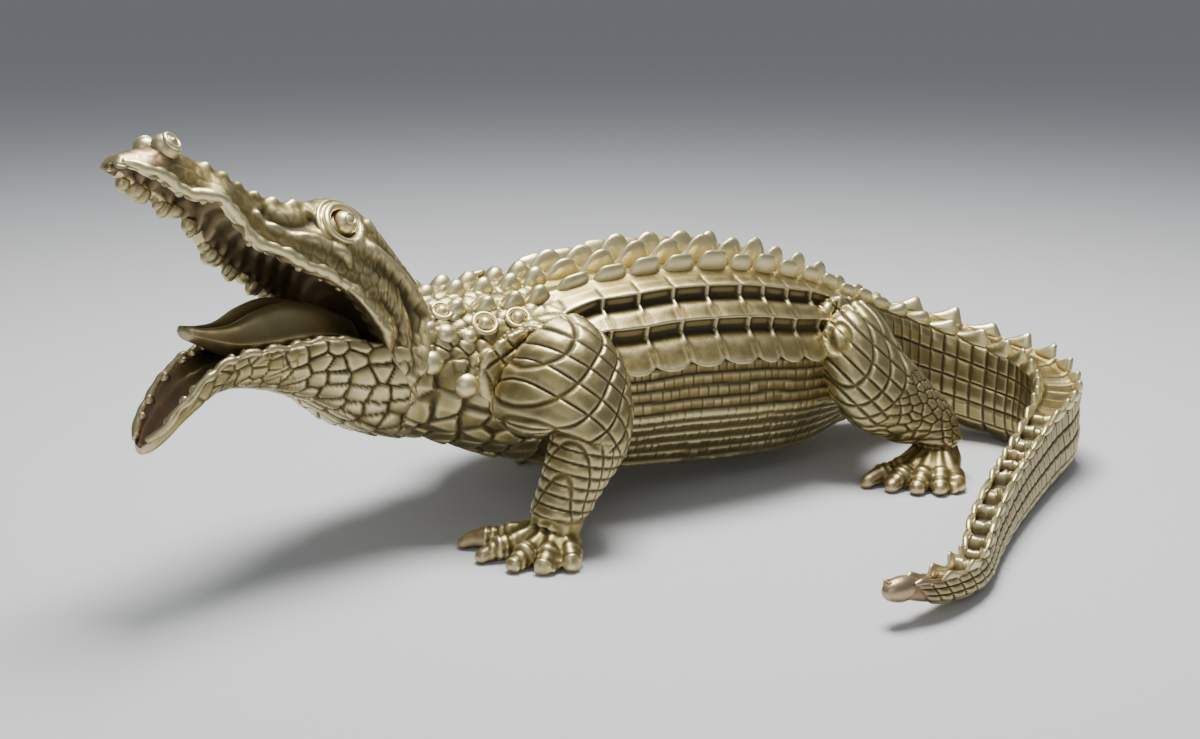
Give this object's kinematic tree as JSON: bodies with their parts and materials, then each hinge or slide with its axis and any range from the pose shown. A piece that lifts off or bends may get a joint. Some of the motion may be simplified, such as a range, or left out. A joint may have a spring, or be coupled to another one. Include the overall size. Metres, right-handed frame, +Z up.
{
  "type": "bronze crocodile sculpture",
  "caption": "Cast bronze crocodile standing on its feet with open jaws, raised tongue, armoured back and a tail hooked round to its left, for a table or shelf.",
  "frame": {"origin": "middle of the underside of the object's box, on the surface it stands on", "axes": "+Z up; the head looks along -X, the animal's left side faces -Y"},
  "size_m": [0.4182, 0.2686, 0.1653],
  "materials": {
    "bronze": "cast bronze with a dull olive-grey patina in the hollows and worn bright edges"
  },
  "bodies": {
    "root": {"crocodile": "bronze"}
  },
  "joints": []
}
